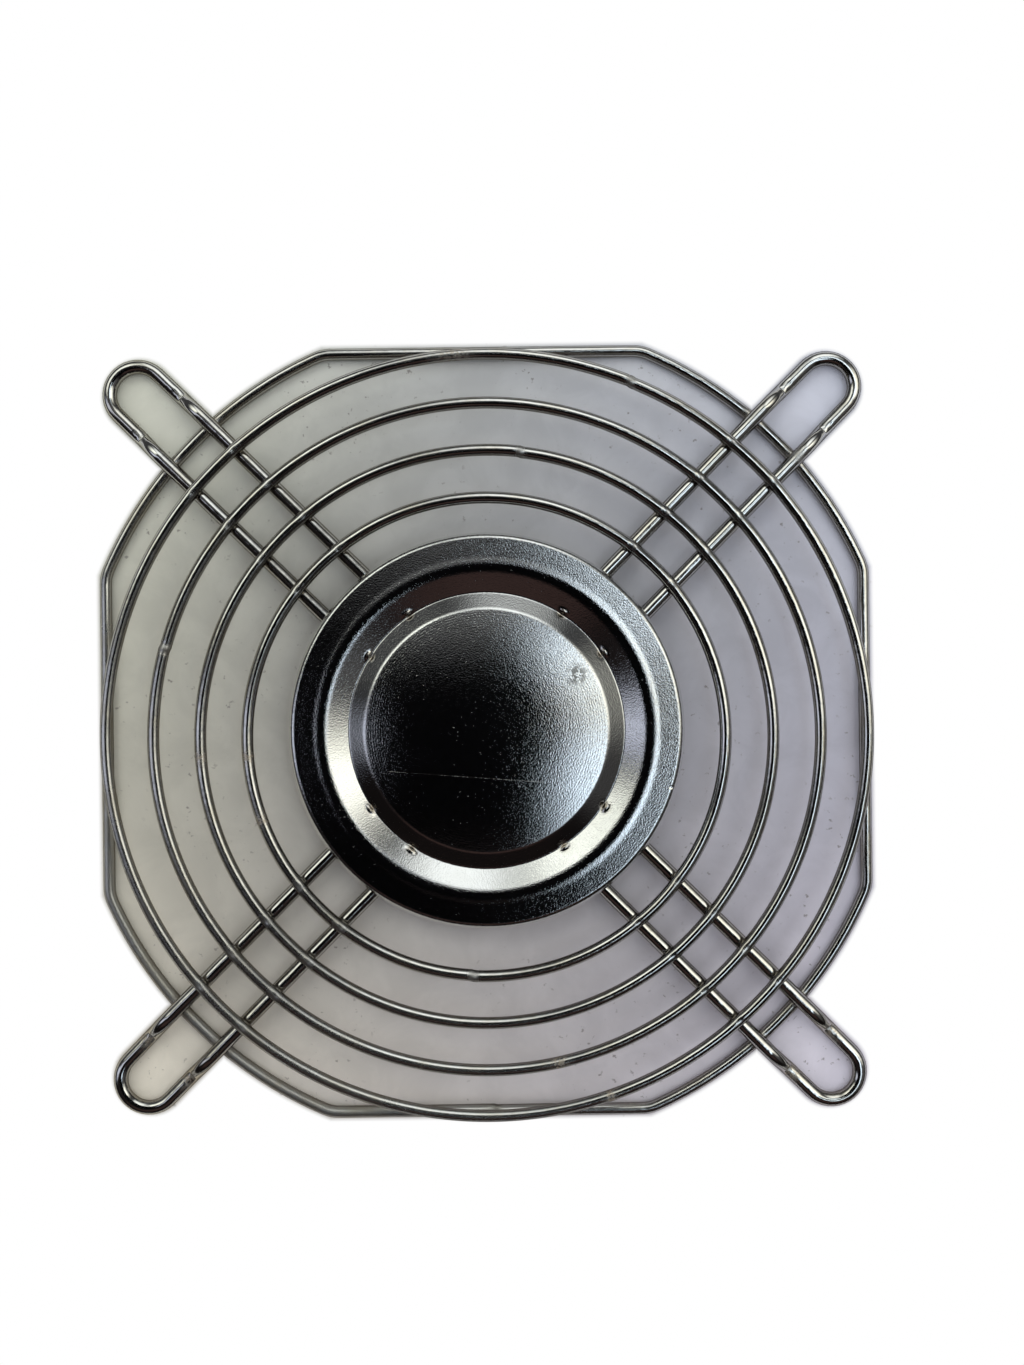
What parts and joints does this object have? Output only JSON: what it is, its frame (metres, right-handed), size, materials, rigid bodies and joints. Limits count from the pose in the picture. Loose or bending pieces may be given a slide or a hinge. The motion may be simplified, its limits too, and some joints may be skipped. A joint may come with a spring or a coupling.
{
  "type": "fan guard grille",
  "caption": "Welded wire guard for an axial fan: concentric rings on looped legs with a stepped mounting loop at each corner, a flat-sided frame ring behind and a pressed centre disc.",
  "frame": {"origin": "middle of the frame ring, on the plane where the loops and the frame ring meet the fan's flange", "axes": "+Z along the fan's axis towards the room, +X and +Y square to the frame ring's flats, mounting loops on the diagonals"},
  "size_m": [0.1178, 0.1178, 0.0077],
  "materials": {
    "front_rings": "bright plated steel wire with light tarnish",
    "frame_ring": "bright plated steel wire with light tarnish",
    "corner_loops": "bright plated steel wire with worn bends",
    "medallion": "bright plated pressed steel with a fine pebbled surface"
  },
  "bodies": {
    "root": {"outer_ring": "front_rings", "second_ring": "front_rings", "third_ring": "front_rings", "inner_ring": "front_rings", "frame_ring": "frame_ring", "corner_loop_ne": "corner_loops", "corner_loop_nw": "corner_loops", "corner_loop_sw": "corner_loops", "corner_loop_se": "corner_loops", "medallion": "medallion"}
  },
  "joints": []
}
